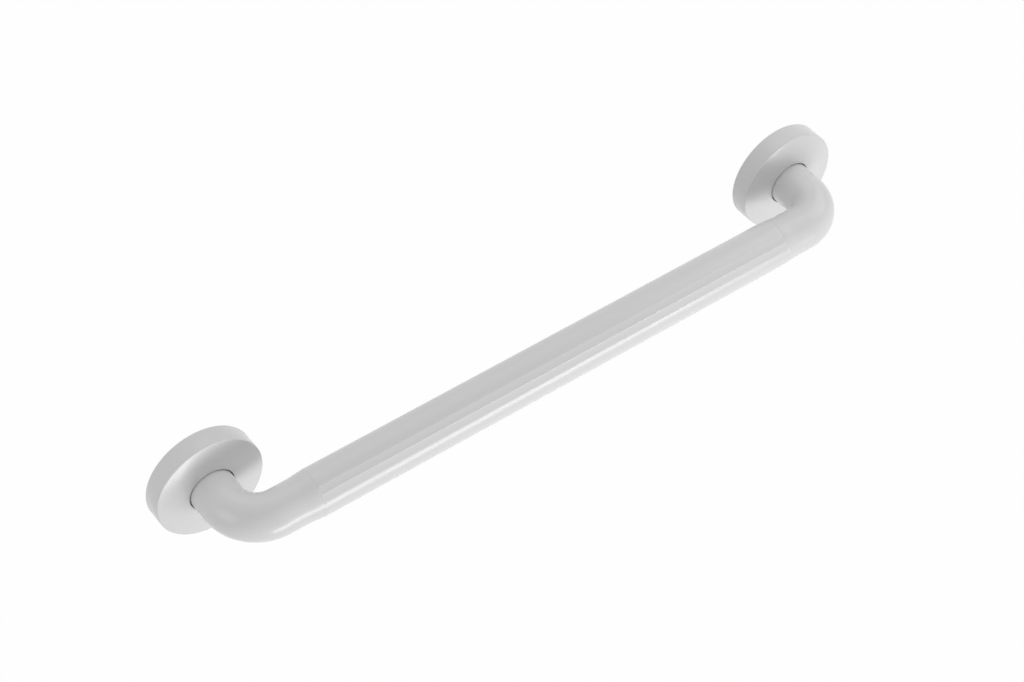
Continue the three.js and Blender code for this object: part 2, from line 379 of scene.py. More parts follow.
sleeve_length = sleeve_high[X] - sleeve_low[X]
sleeve_end = sleeve_start + Vector((sleeve_length, 0, 0))
shoulder_radius = elbow_radius + ELBOW_SWELL
end_ring_radius = shoulder_radius + SLEEVE_END_LIP


def rim_radius_mean(centre):
    rim = [vert for vert in bmesh.from_edit_mesh(sleeve.data).verts if vert.select]
    return sum((vert.co - centre).length for vert in rim) / len(rim)


def draw_in_end(start, way):
    """Carry the selected rim on from start, and turn it from the fluted section into a plain ring."""
    fluted_share = 1
    section_mean = rim_radius_mean(start)
    for step in range(1, END_STEPS + 1):
        centre = start + Vector((way * END_LENGTH * step / END_STEPS, 0, 0))
        next_share = 1 - ease(step / END_STEPS)
        wanted_mean = end_ring_radius + (section_mean - end_ring_radius) * next_share
        push((way * END_LENGTH / END_STEPS, 0, 0))
        bpy.ops.transform.tosphere(value=1 - next_share / fluted_share, center_override=centre)
        scale_across(X, wanted_mean / rim_radius_mean(centre), centre)
        fluted_share = next_share


bpy.ops.mesh.select_all(action="SELECT")
push((sleeve_length - 2 * END_LENGTH, 0, 0))
draw_in_end(sleeve_end - Vector((END_LENGTH, 0, 0)), 1)
draw_in((sleeve_radius - SLEEVE_WALL) / end_ring_radius, sleeve_end)
push((-sleeve_length, 0, 0))
pick(sleeve, at_x(section_place.x), "EDGE")
draw_in_end(section_place, -1)
bridge(sleeve, at_x(sleeve_start.x))
close_mesh()
shade(sleeve, SLEEVE_SMOOTH_UP_TO)
report(sleeve)

# %% [markdown]
# ## Elbows
# An elbow is one hollow moulding. Its foot stands in the base plate, it bends a quarter turn into the arm, and a
# thinner spigot on the arm's end plugs into the core tube. A bevelled curve could give the bend, but floor, wall
# and spigot would have to be joined to it. One moving ring draws all of it: up the foot, round the bend with the
# spin operator, along the arm, which swells over its last stretch to meet the sleeve, in to the spigot, out to
# its mouth, and then back down the inside. The pockets for the brass inserts are cut into the foot afterwards.

# %% Sizes of the elbow
ELBOW_SIDES = 96
ELBOW_WALL = 4.5 * MM
BEND_RADIUS = 26 * MM
BEND_STEPS = 40
FOOT_FLOOR = 12 * MM
SPIGOT_RADIUS = 12.2 * MM
SPIGOT_WALL = 3.7 * MM
SPIGOT_LEAD = 0.7 * MM
SHOULDER_GAP = 0.01 * MM
SHOULDER_DEPTH = 4 * MM
SHOULDER_BEVEL = 0.06 * MM
SWELL_LENGTH = 12 * MM
SWELL_STEPS = 8

out_of_wall = Vector((0, -1, 0))
_, elbow_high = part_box("left_elbow")
foot_y = elbow_high[Y]
bend_centre = Vector((left_x + BEND_RADIUS, bar_y + BEND_RADIUS, 0))
shoulder_x = sleeve_low[X] - SHOULDER_GAP
spigot_end_x = elbow_high[X]
inside_x = shoulder_x - SHOULDER_DEPTH
inside_radius = elbow_radius - ELBOW_WALL
spigot_bore = SPIGOT_RADIUS - SPIGOT_WALL
print(f"elbow: foot at {-foot_y / MM:.1f} mm, spigot {(spigot_end_x - shoulder_x) / MM:.1f} mm long")

# %% Helpers for the bend and the swell
# The spin operator turns a positive angle clockwise, seen from above. The arm lies the other way round.
TOWARDS_ARM = -1


def spin_bend(quarter_turns):
    """Extrude the selected rim round the bend; the sign of the turn says which way."""
    bpy.ops.mesh.spin(
        steps=BEND_STEPS,
        angle=quarter_turns * math.pi / 2,
        center=bend_centre,
        axis=(0, 0, 1),
        use_auto_merge=False,
    )


def swell_to_shoulder():
    """Carry the selected rim over the last stretch of the arm, a little wider at each step."""
    radius = elbow_radius
    for step in range(1, SWELL_STEPS + 1):
        next_radius = elbow_radius + ELBOW_SWELL * ease(step / SWELL_STEPS)
        push((SWELL_LENGTH / SWELL_STEPS, 0, 0))
        scale_across(X, next_radius / radius, (shoulder_x, bar_y, 0))
        radius = next_radius


# %% Draw the left elbow with one moving ring
left_elbow = start_ring("left_bend", elbow_radius, (left_x, foot_y, 0), ELBOW_SIDES, out_of_wall)
push((0, bend_centre.y - foot_y, 0))
spin_bend(TOWARDS_ARM)
push((shoulder_x - SWELL_LENGTH - bend_centre.x, 0, 0))
swell_to_shoulder()
draw_in(SPIGOT_RADIUS / shoulder_radius, (shoulder_x, bar_y, 0))
push((spigot_end_x - shoulder_x, 0, 0))
draw_in(spigot_bore / SPIGOT_RADIUS, (spigot_end_x, bar_y, 0))
push((inside_x - spigot_end_x, 0, 0))
draw_in(inside_radius / spigot_bore, (inside_x, bar_y, 0))
push((bend_centre.x - inside_x, 0, 0))
spin_bend(-TOWARDS_ARM)
push((0, foot_y - FOOT_FLOOR - bend_centre.y, 0))
bevel(left_elbow, on_bar_ring(shoulder_x, shoulder_radius), SHOULDER_BEVEL, ROUND_STEPS)
bevel(left_elbow, on_bar_ring(spigot_end_x, SPIGOT_RADIUS), SPIGOT_LEAD, BREAK_STEPS)
close_mesh()
report(left_elbow)

# %% Cut the insert pockets into the foot, and turn a copy to the other end
FOOT_SCREWS = 3
FOOT_CIRCLE_RADIUS = 9.5 * MM
POCKET_SIDES = 32
POCKET_RADIUS = 3.4 * MM
POCKET_DEPTH = 9.5 * MM
OVERRUN = 1 * MM

foot_centre = Vector((left_x, 0, 0))
pocket_place = (left_x + FOOT_CIRCLE_RADIUS, foot_y + OVERRUN, 0)
pockets = start_ring("pockets", POCKET_RADIUS, pocket_place, POCKET_SIDES, out_of_wall)
push((0, -POCKET_DEPTH - OVERRUN, 0))
repeat_round(foot_centre, FOOT_SCREWS)
close_mesh()
combine(left_elbow, pockets, "DIFFERENCE")
shade(left_elbow)
report(left_elbow)
right_elbow = other_end(left_elbow, "right_bend")
report(right_elbow)

# %% [markdown]
# ## Covers
# A cover is a shallow moulded cap with a hole for the elbow. Its face is crowned: it climbs from a narrow rounded
# rim to the hole, ever more gently. Inside it has a short collar round the hole and six ribs that rest on the
# base plate. A flattened sphere would not give that rim and that even wall. So it is drawn like the elbow, by one
# ring that goes round its outline, and the last rim is bridged to the first. A curve in the outline is a few
# short steps worked out from a formula. Edges are bevelled afterwards, because on a real moulding no edge is
# quite sharp, and it is the small round at an edge that catches the light.

# %% Sizes of the cover
COVER_SIDES = 144
COVER_WALL = 2.2 * MM
COVER_RIM_BREAK = 0.6 * MM
COVER_RIM_STEPS = 4
COVER_CROWN_RISE = 2.5 * MM
COVER_CROWN_POWER = 2
CROWN_STEPS = 16
CEILING_STEPS = 6
COVER_LIP_RADIUS = 0.5 * MM
COVER_HOLE_GAP = 0.8 * MM
COLLAR_WALL = 1.6 * MM
COLLAR_DEPTH = 3 * MM

cover_low, cover_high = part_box("left_cover")
cover_back = -cover_high[Y]
cover_top = -cover_low[Y]
cover_inside = cover_radius - COVER_WALL
rim_radius = cover_radius - COVER_RIM_BREAK
hole_radius = elbow_radius + COVER_HOLE_GAP
lip_radius = hole_radius + COVER_LIP_RADIUS
collar_outside = hole_radius + COLLAR_WALL
collar_end = cover_top - COVER_WALL - COLLAR_DEPTH
print(f"cover: {(cover_top - cover_back) / MM:.1f} mm high, hole {2 * hole_radius / MM:.1f} mm across")


# %% Helpers for outlines
def walk_outline(centre_x, outline):
    """From the selected rim at the outline's first point, extrude to each next point (radius, height)."""
    radius, height = outline[0]
    for next_radius, next_height in outline[1:]:
        push((0, height - next_height, 0))
        scale_across(Y, next_radius / radius, (centre_x, -next_height, 0))
        radius, height = next_radius, next_height


def bevel_rings(piece, centre_x, rings):
    """Bevel the edges on each ring of an outline: (radius, height, size of the bevel, its steps)."""
    for radius, height, size, steps in rings:
        bevel(piece, on_foot_ring(centre_x, radius, height), size, steps)


def crown_height(radius):
    """The height of the cover's face above the wall, at a distance from its centre."""
    out_share = max(radius - lip_radius, 0) / (rim_radius - lip_radius)
    return cover_top - COVER_CROWN_RISE * out_share**COVER_CROWN_POWER


def steps_between(first, last, steps):
    """That many even steps from first to last, both included."""
    return [first + (last - first) * step / steps for step in range(steps + 1)]


# %% Draw the left cover round its outline
face = [(radius, crown_height(radius)) for radius in steps_between(cover_radius, lip_radius, CROWN_STEPS)]
ceiling_radii = steps_between(collar_outside, cover_inside, CEILING_STEPS)
ceiling = [(radius, crown_height(radius) - COVER_WALL) for radius in ceiling_radii]
cover_outline = [
    (cover_inside, cover_back),
    (cover_radius, cover_back),
    *face,
    (hole_radius, cover_top),
    (hole_radius, collar_end),
    (collar_outside, collar_end),
    *ceiling,
]
cover_bevels = [
    (*face[0], COVER_RIM_BREAK, COVER_RIM_STEPS),
    (hole_radius, cover_top, COVER_LIP_RADIUS, FILLET_STEPS),
    (cover_radius, cover_back, COVER_RIM_BREAK, BREAK_STEPS),
]
left_cover = start_ring("left_rose", cover_inside, (left_x, -cover_back, 0), COVER_SIDES, out_of_wall)
walk_outline(left_x, cover_outline)
first_rim = on_foot_ring(left_x, *cover_outline[0])
last_rim = on_foot_ring(left_x, *cover_outline[-1])
bridge(left_cover, lambda place: first_rim(place) or last_rim(place))
bevel_rings(left_cover, left_x, cover_bevels)
close_mesh()
report(left_cover)

# %% Join the ribs to the cover, and turn a copy to the other end
RIB_COUNT = 6
RIB_THICKNESS = 1.6 * MM
RIB_WIDTH = 4.2 * MM
PLATE_THICKNESS = 6 * MM
FIT_GAP = 0.3 * MM

rib_inner = cover_inside - RIB_WIDTH
rib_outer = cover_inside + COVER_WALL / 2
rib_low = PLATE_THICKNESS + FIT_GAP
rib_high = (crown_height(rib_inner) - COVER_WALL + crown_height(rib_outer)) / 2
rib_size = (rib_outer - rib_inner, rib_high - rib_low, RIB_THICKNESS)
rib_place = (left_x + (rib_inner + rib_outer) / 2, -(rib_low + rib_high) / 2, 0)
ribs = start_block("ribs", rib_size, rib_place)
repeat_round(foot_centre, RIB_COUNT)
bpy.ops.object.mode_set(mode="OBJECT")
combine(left_cover, ribs, "UNION")
shade(left_cover)
report(left_cover)
right_cover = other_end(left_cover, "right_rose")
report(right_cover)

# %% [markdown]
# ## Base plates
# The plate is what the wall screws hold. It is a flat disc with a raised socket for the elbow's foot, three small
# gussets outside the socket, three countersunk holes for wall screws and three small ones, cut from behind, for
# the foot screws. The disc and the socket are one walk round the outline. Gussets and holes break the round form,
# so a walk can't make them: the gussets are joined on, and each kind of hole is one tool that is cut out.

# %% Disc and socket of the left plate
PLATE_SIDES = 144
PLATE_CHAMFER = 1.2 * MM
PLATE_EDGE = 0.4 * MM
SOCKET_WALL = 3.6 * MM
SOCKET_HEIGHT = 11 * MM
SOCKET_FILLET = 1.5 * MM
SOCKET_EDGE = 0.6 * MM

socket_inside = elbow_radius + FIT_GAP
socket_outside = socket_inside + SOCKET_WALL
chamfer_low = PLATE_THICKNESS - PLATE_CHAMFER
chamfer_inner = plate_radius - PLATE_CHAMFER
plate_outline = [
    (plate_radius, 0),
    (plate_radius, chamfer_low),
    (chamfer_inner, PLATE_THICKNESS),
    (socket_outside, PLATE_THICKNESS),
    (socket_outside, SOCKET_HEIGHT),
    (socket_inside, SOCKET_HEIGHT),
    (socket_inside, PLATE_THICKNESS),
]
plate_bevels = [
    (socket_outside, PLATE_THICKNESS, SOCKET_FILLET, FILLET_STEPS),
    (socket_outside, SOCKET_HEIGHT, SOCKET_EDGE, ROUND_STEPS),
    (socket_inside, SOCKET_HEIGHT, SOCKET_EDGE, ROUND_STEPS),
    (plate_radius, chamfer_low, PLATE_EDGE, BREAK_STEPS),
    (chamfer_inner, PLATE_THICKNESS, PLATE_EDGE, BREAK_STEPS),
]
left_plate = start_ring("left_flange", plate_radius, (left_x, 0, 0), PLATE_SIDES, out_of_wall)
walk_outline(left_x, plate_outline)
bevel_rings(left_plate, left_x, plate_bevels)
close_mesh()
report(left_plate)

# %% Gussets of the plate
WALL_SCREWS = 3
FIRST_WALL_SCREW_DEGREES = 90
GUSSET_THICKNESS = 3 * MM
GUSSET_REACH = 8 * MM
GUSSET_HEIGHT = 4 * MM

gusset_root = socket_inside + SOCKET_WALL / 2
gusset_tip = socket_outside + GUSSET_REACH
gusset_low = PLATE_THICKNESS / 2
gusset_high = PLATE_THICKNESS + GUSSET_HEIGHT
gusset_size = (gusset_tip - gusset_root, gusset_high - gusset_low, GUSSET_THICKNESS)
gusset_place = Vector((left_x + (gusset_root + gusset_tip) / 2, -(gusset_low + gusset_high) / 2, 0))


def on_far_top_edge(place):
    return place.x > gusset_place.x and place.y < gusset_place.y


gussets = start_block("gussets", gusset_size, gusset_place)
pick(gussets, on_far_top_edge)
bpy.ops.transform.translate(value=(0, GUSSET_HEIGHT, 0))
repeat_round(foot_centre, WALL_SCREWS)
bpy.ops.object.mode_set(mode="OBJECT")
# The first wall screw is straight above the middle of the left plate, and each gusset stands between two screws.
turn_mesh(gussets, FIRST_WALL_SCREW_DEGREES - 180 / WALL_SCREWS, foot_centre)
combine(left_plate, gussets, "UNION")
report(left_plate)

# %% Outlines of the holes
WALL_HOLE_SIDES = 48
WALL_HOLE_RADIUS = 3.2 * MM
WALL_HEAD_RADIUS = 6.2 * MM
FOOT_HOLE_SIDES = 40
FOOT_HOLE_RADIUS = 2.2 * MM
FOOT_HEAD_RADIUS = 4.1 * MM
FOOT_HEAD_DEPTH = 0.8 * MM
FOOT_CONE_DEPTH = 2.2 * MM

wall_screw_circle = (socket_outside + plate_radius) / 2
wall_cone_depth = WALL_HEAD_RADIUS - WALL_HOLE_RADIUS
wall_hole_outline = [
    (WALL_HOLE_RADIUS, -OVERRUN),
    (WALL_HOLE_RADIUS, PLATE_THICKNESS - wall_cone_depth),
    (WALL_HEAD_RADIUS + OVERRUN, PLATE_THICKNESS + OVERRUN),
]
foot_hole_outline = [
    (FOOT_HEAD_RADIUS, -OVERRUN),
    (FOOT_HEAD_RADIUS, FOOT_HEAD_DEPTH),
    (FOOT_HOLE_RADIUS, FOOT_HEAD_DEPTH + FOOT_CONE_DEPTH),
    (FOOT_HOLE_RADIUS, PLATE_THICKNESS + OVERRUN),
]
print(f"wall screws on a circle of {wall_screw_circle / MM:.1f} mm radius")


# %% Cut the holes, and turn a copy to the other end
def hole_tool(name, place_radius, outline, sides, count):
    """A round tool through the plate, with the given outline (radius, height), repeated round the foot."""
    radius, height = outline[0]
    centre_x = left_x + place_radius
    tool = start_ring(name, radius, (centre_x, -height, 0), sides, out_of_wall)
    walk_outline(centre_x, outline)
    repeat_round(foot_centre, count)
    close_mesh()
    return tool


wall_holes = hole_tool("wall_holes", wall_screw_circle, wall_hole_outline, WALL_HOLE_SIDES, WALL_SCREWS)
turn_mesh(wall_holes, FIRST_WALL_SCREW_DEGREES, foot_centre)
combine(left_plate, wall_holes, "DIFFERENCE")
foot_holes = hole_tool("foot_holes", FOOT_CIRCLE_RADIUS, foot_hole_outline, FOOT_HOLE_SIDES, FOOT_SCREWS)
combine(left_plate, foot_holes, "DIFFERENCE")
shade(left_plate)
report(left_plate)
right_plate = other_end(left_plate, "right_flange")
report(right_plate)

# %% [markdown]
# ## Core tube
# An aluminium tube inside the sleeve carries the load, and the elbows' spigots plug into its two ends. It is sawn
# from an extrusion. A cylinder with a Solidify modifier would do, but the moving ring needs no modifier: it is
# pushed along the bar, drawn in, pushed back and bridged. The sawn edges are broken.

# %% Core tube
CORE_SIDES = 96
CORE_WALL = 2 * MM
SAW_BREAK = 0.3 * MM

core_low, core_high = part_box("core_tube")
core_radius = node_size("core_tube", Z) / 2
core_bore = core_radius - CORE_WALL
core_start = Vector((core_low[X], bar_y, 0))
core_end = Vector((core_high[X], bar_y, 0))
core = start_ring("core_pipe", core_radius, core_start, CORE_SIDES, along_bar)
push(core_end - core_start)
draw_in(core_bore / core_radius, core_end)
push(core_start - core_end)
bridge(core, at_x(core_start.x))
for end in (core_start, core_end):
    for radius in (core_radius, core_bore):
        bevel(core, on_bar_ring(end.x, radius), SAW_BREAK, BREAK_STEPS)
close_mesh()
shade(core)
report(core)

# %% [markdown]
# ## Foot screws
# Three countersunk socket screws hold each elbow's foot to its plate, from behind. One is walked round its outline
# and gets its hexagon socket from a six-sided tool. The others could share its mesh, but each piece has to be a
# thing of its own, so they are full copies. Each is turned a little further than the last, because no two screws
# stop at the same angle. Their threads are left off: nothing shows them.

# %% Helpers for the copies at the feet
TURN_BETWEEN_COPIES = 23


def copy_to(piece, name, offset, turn_degrees):
    """A copy moved by an offset and turned about its own axis, which runs along Y."""
    copy = copy_as(piece, name)
    bpy.ops.object.mode_set(mode="EDIT")
    bpy.ops.mesh.select_all(action="SELECT")
    bpy.ops.transform.translate(value=offset)
    bpy.ops.object.mode_set(mode="OBJECT")
    turn_mesh(copy, turn_degrees, first_foot_axis + offset)
    return copy


def node_centre(node):
    return Vector([node_middle(node, axis) for axis in (X, Y, Z)])


def copies_at_feet(first, kind, node_kind):
    """The first piece and its copies, each with the node that it stands for."""
    found = []
    first_node = f"left_{node_kind}_1"
    for side in ("left", "right"):
        for number in range(1, FOOT_SCREWS + 1):
            node = f"{side}_{node_kind}_{number}"
            offset = node_centre(node) - node_centre(first_node)
            turn = TURN_BETWEEN_COPIES * len(found)
            piece = first if node == first_node else copy_to(first, f"{side}_{kind}_{number}", offset, turn)
            found.append((piece, node))
    return found


# %% Walk one foot screw round its outline
SCREW_SIDES = 48
SCREW_SHANK_RADIUS = 1.8 * MM
SCREW_HEAD_DEPTH = 2.2 * MM
SCREW_HEAD_LAND = 0.4 * MM
SCREW_HEAD_EDGE = 0.12 * MM
SCREW_CONE_EDGE = 0.08 * MM

screw_low, screw_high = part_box("left_foot_screw_1")
screw_x = (screw_low[X] + screw_high[X]) / 2
first_foot_axis = Vector((screw_x, 0, 0))
head_radius = (screw_high[X] - screw_low[X]) / 2
screw_head = -screw_high[Y]
screw_tip = -screw_low[Y]
cone_start = screw_head + SCREW_HEAD_LAND
screw_outline = [
    (head_radius, screw_head),
    (head_radius, cone_start),
    (SCREW_SHANK_RADIUS, cone_start + SCREW_HEAD_DEPTH),
    (SCREW_SHANK_RADIUS, screw_tip - SCREW_HEAD_LAND),
    (SCREW_SHANK_RADIUS - SCREW_HEAD_LAND, screw_tip),
]
screw_bevels = [
    (head_radius, screw_head, SCREW_HEAD_EDGE, BREAK_STEPS),
    (head_radius, cone_start, SCREW_CONE_EDGE, BREAK_STEPS),
]
screw = start_ring("left_bolt_1", head_radius, (screw_x, -screw_head, 0), SCREW_SIDES, out_of_wall)
walk_outline(screw_x, screw_outline)
bevel_rings(screw, screw_x, screw_bevels)
close_mesh()
report(screw)

# %% Cut its hexagon socket, and copy it to the other places
HEX_SIDES = 6
HEX_ACROSS_CORNERS = 2.9 * MM
HEX_DEPTH = 1.5 * MM
SCREW_SMOOTH_UP_TO = 30

socket_start = (screw_x, -screw_head + OVERRUN, 0)
socket = start_ring("hexagon", HEX_ACROSS_CORNERS / 2, socket_start, HEX_SIDES, out_of_wall)
push((0, -HEX_DEPTH - OVERRUN, 0))
close_mesh()
combine(screw, socket, "DIFFERENCE")
shade(screw, SCREW_SMOOTH_UP_TO)
report(screw)
screws = copies_at_feet(screw, "bolt", "foot_screw")
print(f"{len(screws)} foot screws")

# %% [markdown]
# ## Brass inserts
# A screw holds poorly in plastic, so each turns into a knurled brass insert that is pressed warm into the foot.
# A diamond knurl would take a Boolean for each groove. This one is the simplest kind, of straight grooves: every
# second line of vertices on the two outer bands is drawn in.

# %% Walk one insert round its outline
INSERT_SIDES = 72
INSERT_BORE_RADIUS = 2.1 * MM
INSERT_GROOVE = 0.35 * MM
INSERT_GROOVE_WIDTH = 1.2 * MM
INSERT_LEAD = 0.4 * MM

insert_low, insert_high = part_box("left_foot_insert_1")
insert_radius = (insert_high[X] - insert_low[X]) / 2
insert_start = -insert_high[Y]
insert_end = -insert_low[Y]
groove_low = (insert_start + insert_end - INSERT_GROOVE_WIDTH) / 2
groove_high = (insert_start + insert_end + INSERT_GROOVE_WIDTH) / 2
insert_outline = [
    (INSERT_BORE_RADIUS, insert_start),
    (insert_radius - INSERT_LEAD, insert_start),
    (insert_radius, insert_start + INSERT_LEAD),
    (insert_radius, groove_low - INSERT_GROOVE),
    (insert_radius - INSERT_GROOVE, groove_low),
    (insert_radius - INSERT_GROOVE, groove_high),
    (insert_radius, groove_high + INSERT_GROOVE),
    (insert_radius, insert_end - INSERT_LEAD),
    (insert_radius - INSERT_LEAD, insert_end),
    (INSERT_BORE_RADIUS, insert_end),
]


def off_insert_axis(place):
    return (place - first_foot_axis).xz.length


insert_place = (screw_x, -insert_start, 0)
insert = start_ring("left_bush_1", INSERT_BORE_RADIUS, insert_place, INSERT_SIDES, out_of_wall)
walk_outline(screw_x, insert_outline)
bridge(insert, lambda place: off_insert_axis(place) < INSERT_BORE_RADIUS + NEAR)

# %% Knurl the insert, and copy it to the other places
KNURL_DEPTH = 0.12 * MM
KNURL_SMOOTH_UP_TO = 20


def in_knurl_valley(place):
    off = (place - first_foot_axis).xz
    line = round(math.atan2(off.y, off.x) * INSERT_SIDES / (2 * math.pi))
    return off.length > insert_radius - NEAR and line % 2 == 1


valleys = pick(insert, in_knurl_valley)
scale_across(Y, 1 - KNURL_DEPTH / insert_radius, first_foot_axis)
close_mesh()
shade(insert, KNURL_SMOOTH_UP_TO)
report(insert)
inserts = copies_at_feet(insert, "bush", "foot_insert")
print(f"{len(inserts)} inserts, {valleys} points in the valleys of each knurl")

# %% [markdown]
# ## Finishes
# All the white pieces are plastic from a die or a mould, and what tells them apart is small: fine lines along the
# extruded sleeve, a slight ripple on the moulded pieces, and the sparked grain of the hidden plates. Painted
# images could hold such marks, but they blur close up and need an unwrapped mesh. Each effect here is one node
# group, built once, that the materials use with their own values. The groups read Object coordinates, so a pattern
# stays where it is on its piece in every pose. Depths are small, as on the real thing: from one or two thousandths
# of a millimetre to two hundredths.


# %% Helpers for materials
def add_node(tree, kind, **settings):
    node = tree.nodes.new(kind)
    for name, value in settings.items():
        setattr(node, name, value)
    return node


def feed(tree, value, socket):
    """Give a socket its value, which is a link or a plain number, colour or vector."""
    if isinstance(value, bpy.types.NodeSocket):
        tree.links.new(value, socket)
    else:
        socket.default_value = value


def new_group(name, inputs, output, kind):
    """An empty node group with named inputs and one output, and its two end nodes."""
    group = bpy.data.node_groups.new(name, "ShaderNodeTree")
    for socket, socket_kind in inputs.items():
        group.interface.new_socket(socket, in_out="INPUT", socket_type=socket_kind)
    group.interface.new_socket(output, in_out="OUTPUT", socket_type=kind)
    return group, add_node(group, "NodeGroupInput").outputs, add_node(group, "NodeGroupOutput").inputs[output]


def use_group(tree, group, values):
    """Place a group in a material, give each of its inputs a link or a value, and give back its output."""
    node = add_node(tree, "ShaderNodeGroup", node_tree=group)
    for name, value in values.items():
        feed(tree, value, node.inputs[name])
    return node.outputs[0]


def add_noise(tree, place, scale, detail):
    """Noise from 0 to 1; scale is in patches per metre."""
    noise = add_node(tree, "ShaderNodeTexNoise")
    feed(tree, detail, noise.inputs["Detail"])
    feed(tree, place, noise.inputs["Vector"])
    feed(tree, scale, noise.inputs["Scale"])
    return noise.outputs["Fac"]


def add_math(tree, operation, first, second):
    node = add_node(tree, "ShaderNodeMath", operation=operation)
    feed(tree, first, node.inputs[0])
    feed(tree, second, node.inputs[1])
    return node.outputs[0]


# %% Reliefs that the finishes share
VECTOR, NUMBER, COLOUR = "NodeSocketVector", "NodeSocketFloat", "NodeSocketColor"

ripple, given, out = new_group("moulded_ripple", {"Place": VECTOR, "Ripples per metre": NUMBER}, "Height", NUMBER)
ripple.links.new(add_noise(ripple, given["Place"], given["Ripples per metre"], detail=1), out)

line_inputs = {"Place": VECTOR, "Stretch": VECTOR, "Lines per metre": NUMBER}
tool_lines, given, out = new_group("tool_lines", line_inputs, "Height", NUMBER)
stretched = add_node(tool_lines, "ShaderNodeVectorMath", operation="MULTIPLY")
tool_lines.links.new(given["Place"], stretched.inputs[0])
tool_lines.links.new(given["Stretch"], stretched.inputs[1])
tool_lines.links.new(add_noise(tool_lines, stretched.outputs[0], given["Lines per metre"], detail=3), out)
print("reliefs:", ripple.name, tool_lines.name)

# %% Uneven gloss and tone
GLOSS_PATCHES_PER_METRE = 45
TONE_PATCHES_PER_METRE = 18
NOISE_MIDDLE = 0.5

gloss_inputs = {"Place": VECTOR, "Roughness": NUMBER, "Spread": NUMBER}
uneven_gloss, given, out = new_group("uneven_gloss", gloss_inputs, "Roughness", NUMBER)
patches = add_noise(uneven_gloss, given["Place"], GLOSS_PATCHES_PER_METRE, detail=2)
from_middle = add_math(uneven_gloss, "SUBTRACT", patches, NOISE_MIDDLE)
change = add_math(uneven_gloss, "MULTIPLY", from_middle, given["Spread"])
uneven_gloss.links.new(add_math(uneven_gloss, "ADD", given["Roughness"], change), out)

tone_inputs = {"Place": VECTOR, "Colour": COLOUR, "Depth": NUMBER}
uneven_tone, given, out = new_group("uneven_tone", tone_inputs, "Colour", COLOUR)
patches = add_noise(uneven_tone, given["Place"], TONE_PATCHES_PER_METRE, detail=3)
darkening = add_math(uneven_tone, "MULTIPLY", patches, given["Depth"])
toned = add_node(uneven_tone, "ShaderNodeHueSaturation")
uneven_tone.links.new(add_math(uneven_tone, "SUBTRACT", 1, darkening), toned.inputs["Value"])
uneven_tone.links.new(given["Colour"], toned.inputs["Color"])
uneven_tone.links.new(toned.outputs["Color"], out)
print("gloss and tone:", uneven_gloss.name, uneven_tone.name)


# %% One function for all finishes
def make_finish(name, colour, roughness, gloss_spread, tone_depth, relief, metallic=0):
    """A material with an uneven tone and gloss, and a relief: a group, its values and its depth in metres."""
    material = bpy.data.materials.new(name)
    material.use_nodes = True
    tree = material.node_tree
    shader = tree.nodes["Principled BSDF"]
    shader.inputs["Metallic"].default_value = metallic
    place = add_node(tree, "ShaderNodeTexCoord").outputs["Object"]
    tone = use_group(tree, uneven_tone, {"Place": place, "Colour": (*colour, 1), "Depth": tone_depth})
    tree.links.new(tone, shader.inputs["Base Color"])
    gloss = use_group(tree, uneven_gloss, {"Place": place, "Roughness": roughness, "Spread": gloss_spread})
    tree.links.new(gloss, shader.inputs["Roughness"])
    normal = None
    for layer in relief:
        bump = add_node(tree, "ShaderNodeBump")
        bump.inputs["Distance"].default_value = layer["depth"]
        height = use_group(tree, layer["group"], {"Place": place, **layer["values"]})
        tree.links.new(height, bump.inputs["Height"])
        if normal:
            tree.links.new(normal, bump.inputs["Normal"])
        normal = bump.outputs["Normal"]
    tree.links.new(normal, shader.inputs["Normal"])
    print(f"{name}: colour {colour}, roughness {roughness}, {len(relief)} layers of relief")
    return material


# %% [markdown]
# The grip is extruded through a die, which leaves lines along it that run its whole length. Elbows and covers
# are moulded: no lines, but a very slight ripple that makes the edge of a reflection wander. The plates are filled
# with glass fibre and come from a sparked mould, so they are duller, greyer and finely grained.

# %% Reliefs of the plastics
ALONG_BAR = (0.02, 1, 1)
die_lines = {
    "group": tool_lines,
    "values": {"Stretch": ALONG_BAR, "Lines per metre": 900},
    "depth": 0.0015 * MM,
}
soft_ripple = {"group": ripple, "values": {"Ripples per metre": 140}, "depth": 0.008 * MM}
mould_ripple = {"group": ripple, "values": {"Ripples per metre": 180}, "depth": 0.008 * MM}
spark_grain = {"group": ripple, "values": {"Ripples per metre": 1600}, "depth": 0.02 * MM}

# %% Plastics
plastics = {
    "sleeve_plastic": make_finish(
        "extruded_white",
        colour=(0.8, 0.8, 0.8),
        roughness=0.25,
        gloss_spread=0.08,
        tone_depth=0.02,
        relief=[die_lines, soft_ripple],
    ),
    "elbow_plastic": make_finish(
        "moulded_white",
        colour=(0.79, 0.79, 0.79),
        roughness=0.25,
        gloss_spread=0.08,
        tone_depth=0.02,
        relief=[mould_ripple],
    ),
    "cover_plastic": make_finish(
        "cover_white",
        colour=(0.79, 0.79, 0.79),
        roughness=0.22,
        gloss_spread=0.06,
        tone_depth=0.02,
        relief=[mould_ripple],
    ),
    "plate_plastic": make_finish(
        "filled_white",
        colour=(0.68, 0.68, 0.67),
        roughness=0.5,
        gloss_spread=0.1,
        tone_depth=0.04,
        relief=[spark_grain],
    ),
}

# %% [markdown]
# The metals are seen only from behind or when the bar is taken apart. The core tube has die lines along it like
# the sleeve, and the screws and inserts are turned, so their lines run round them, which is across Y.

